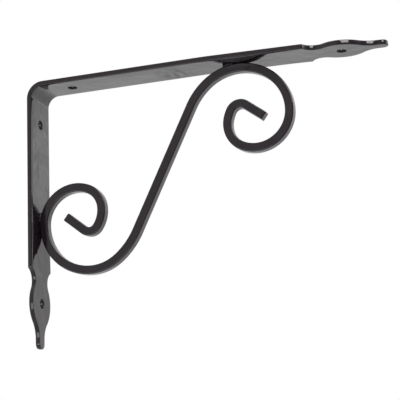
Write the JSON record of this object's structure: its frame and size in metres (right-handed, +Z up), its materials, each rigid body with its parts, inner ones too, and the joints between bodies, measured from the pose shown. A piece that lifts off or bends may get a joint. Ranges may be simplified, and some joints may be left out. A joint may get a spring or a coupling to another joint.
{
  "type": "steel scroll shelf bracket",
  "caption": "Right-angle shelf bracket: a bent flat bar with spear-shaped ends and screw holes, braced in the corner by an S scroll of square bar.",
  "frame": {"origin": "on the wall face of the wall arm, on its centreline, midway between its two screw holes", "axes": "+X straight out from the wall along the shelf arm, +Y along the wall across the bar's width, +Z up towards the shelf"},
  "size_m": [0.22, 0.025, 0.161],
  "materials": {
    "black_paint": "gloss black paint over steel, with light runs and orange peel"
  },
  "bodies": {
    "root": {"flat_bar": "black_paint", "scroll": "black_paint", "upper_weld": "black_paint", "lower_weld": "black_paint"}
  },
  "joints": []
}
